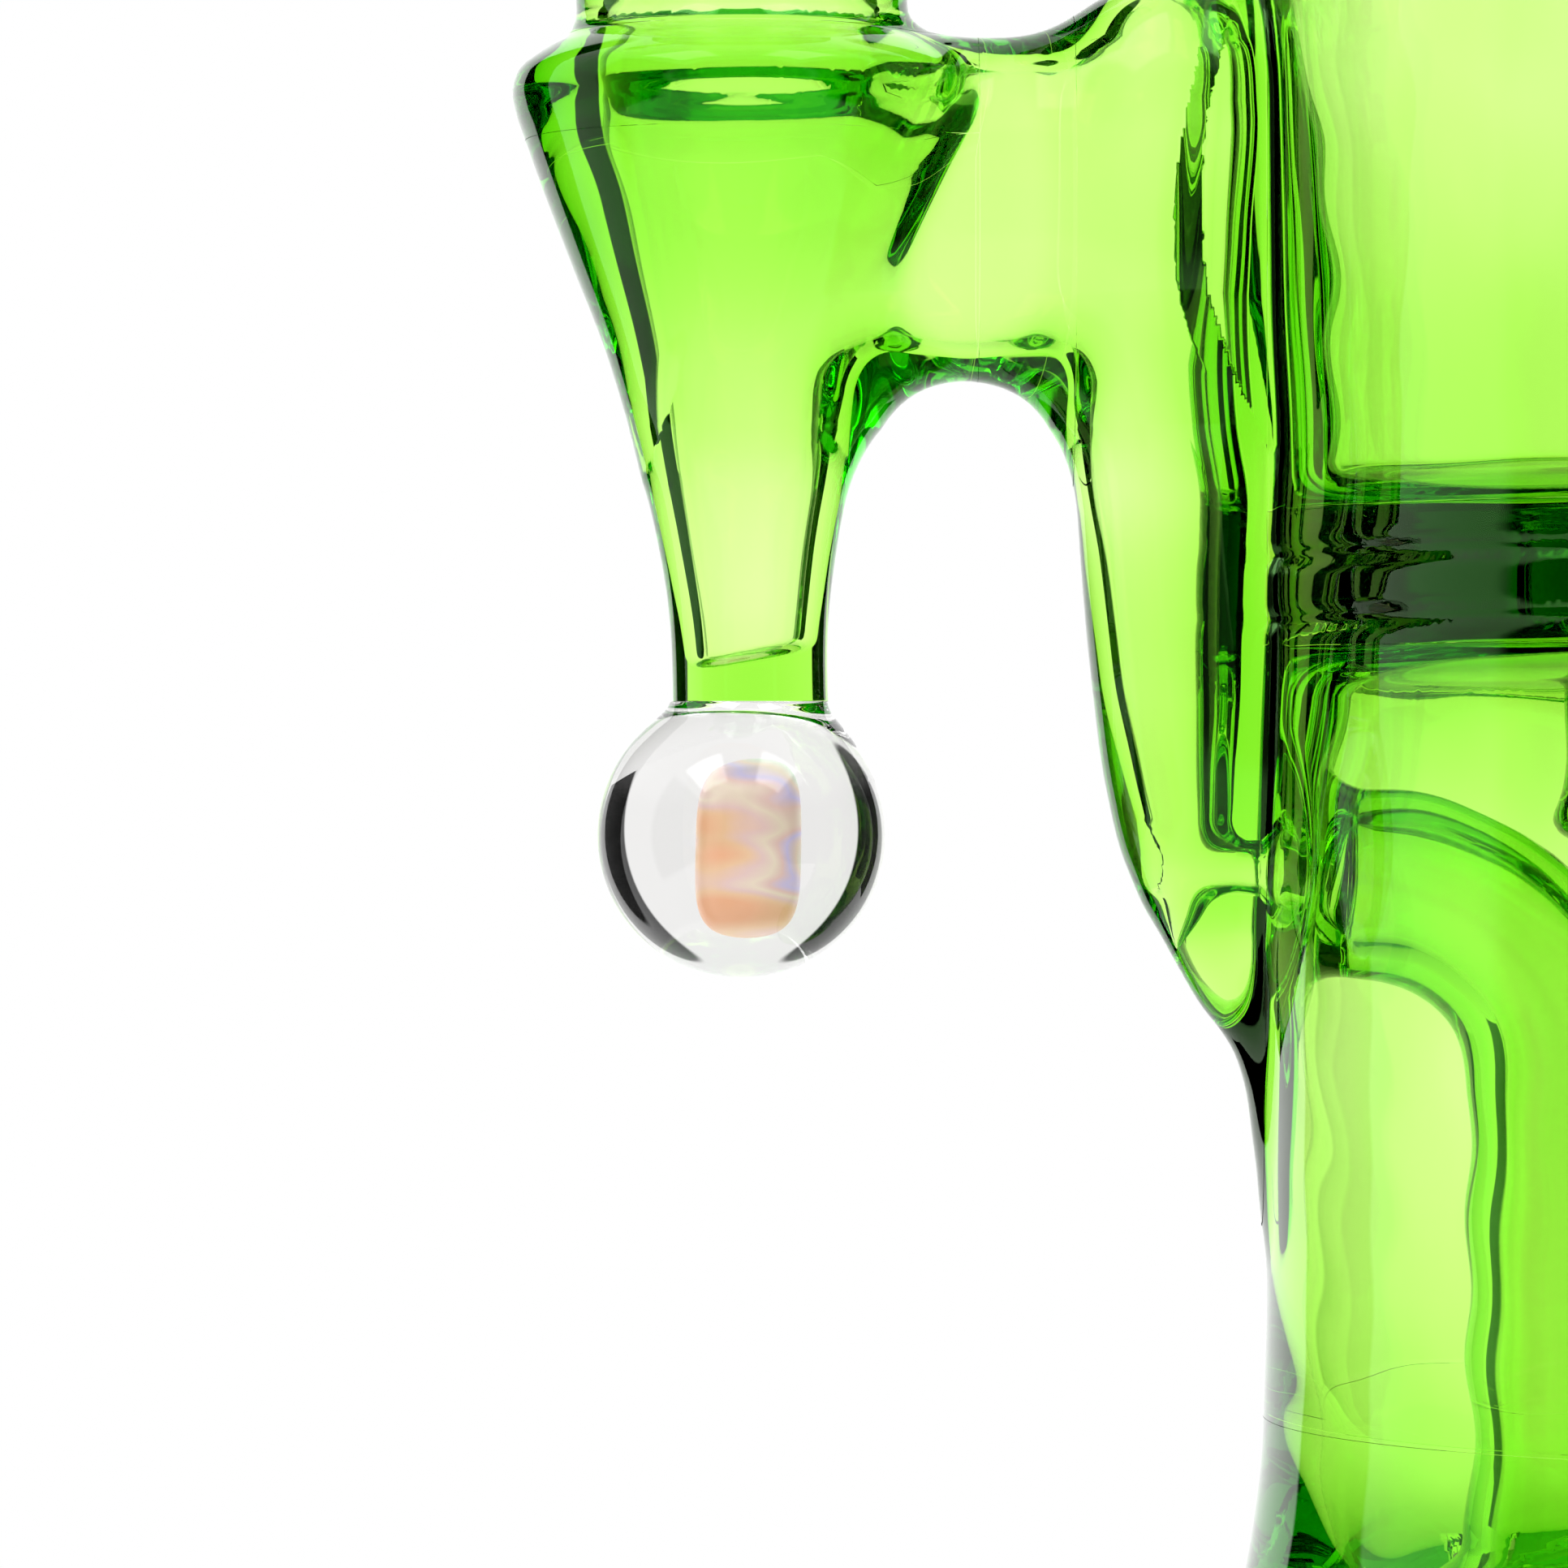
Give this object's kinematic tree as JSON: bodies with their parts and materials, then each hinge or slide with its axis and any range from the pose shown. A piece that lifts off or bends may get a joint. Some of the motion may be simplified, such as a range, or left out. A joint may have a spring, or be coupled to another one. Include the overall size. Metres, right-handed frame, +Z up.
{
  "type": "glass water pipe",
  "caption": "Hand-blown green glass water pipe with a two-chamber can, side tube, bridge and ground socket that ends in a clear drop marble, and a lift-out bowl.",
  "frame": {"origin": "on the can's axis, at the flat underside of the foot", "axes": "+Z up along the can's axis, -X from the can's axis towards the ground socket, Y across"},
  "size_m": [0.1286, 0.077, 0.2028],
  "materials": {
    "green_glass": "clear transparent lime green, fire polished",
    "clear_glass": "water-clear, fire polished",
    "opal": "milky synthetic opal with play of colour"
  },
  "bodies": {
    "vessel": {"foot": "green_glass", "foot_flare": "green_glass", "lower_chamber": "green_glass", "divider": "green_glass", "upper_chamber": "green_glass", "shoulder": "green_glass", "neck_ring": "green_glass", "neck": "green_glass", "mouthpiece": "green_glass", "mouth_lip": "green_glass", "socket_collar": "green_glass", "socket_ring": "green_glass", "cup": "green_glass", "cup_tip": "green_glass", "side_tube": "green_glass", "side_tube_cap": "green_glass", "side_tube_tip": "green_glass", "bridge": "green_glass", "wall_seal": "green_glass", "downcomer_bend": "green_glass", "downcomer_stem": "green_glass", "diffuser_bell": "green_glass", "diffuser_plate": "green_glass", "riser_1": "green_glass", "riser_2": "green_glass", "riser_3": "green_glass", "drop_marble": "clear_glass", "marble_plug": "clear_glass", "opal": "opal"},
    "bowl": {"bowl_ground_cone": "green_glass", "bowl_ring": "green_glass", "bowl_cup": "green_glass", "bowl_horn": "green_glass"},
    "screen": {"bowl_screen": "clear_glass"}
  },
  "joints": [
    {"name": "bowl_lift", "type": "slide", "parent": "vessel", "child": "bowl", "axis": [0, 0, 1], "range_m": [0, 0.03]},
    {"name": "screen_lift", "type": "slide", "parent": "bowl", "child": "screen", "axis": [0, 0, 1], "range_m": [0, 0.02]}
  ]
}
